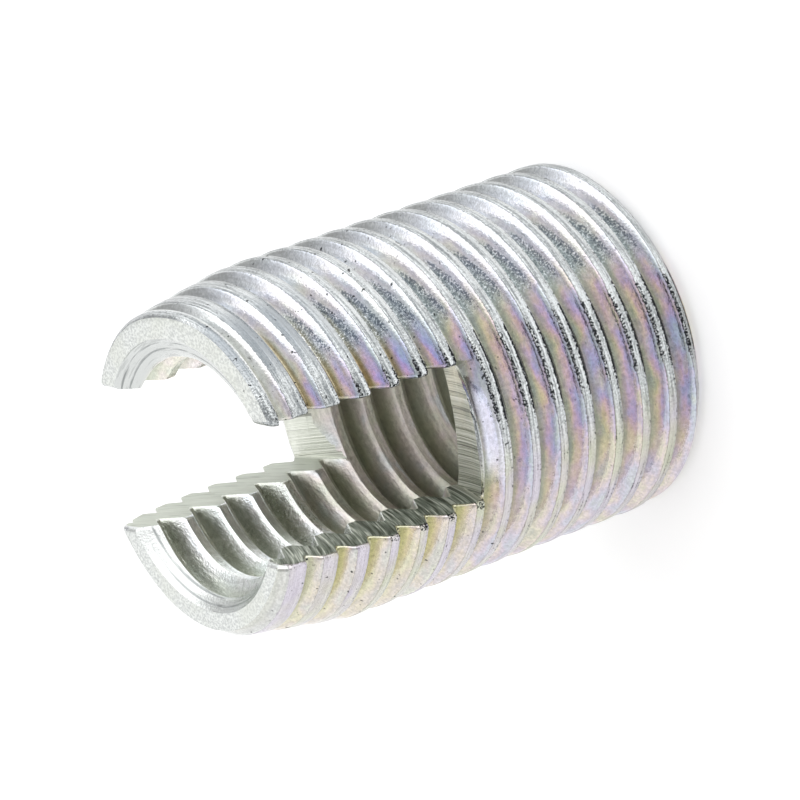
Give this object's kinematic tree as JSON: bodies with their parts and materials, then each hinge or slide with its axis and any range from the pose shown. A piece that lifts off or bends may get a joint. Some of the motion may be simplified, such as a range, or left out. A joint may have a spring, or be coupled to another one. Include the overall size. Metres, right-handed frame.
{
  "type": "threaded insert",
  "caption": "Self-tapping threaded insert: a plated steel sleeve with a ridged outside thread, a threaded bore and a straight cutting slot across its tapered leading end.",
  "frame": {"origin": "centre of the flat trailing face, on the axis of the sleeve", "axes": "+Z along the axis from the flat trailing face to the slotted leading end, +X along the cutting slot"},
  "size_m": [0.016, 0.016, 0.022],
  "materials": {
    "zinc_plated_steel": "bright zinc plate with a faint iridescent passivation, satin on the ridges and matte on the leading face"
  },
  "bodies": {
    "root": {"insert_body": "zinc_plated_steel"}
  },
  "joints": []
}
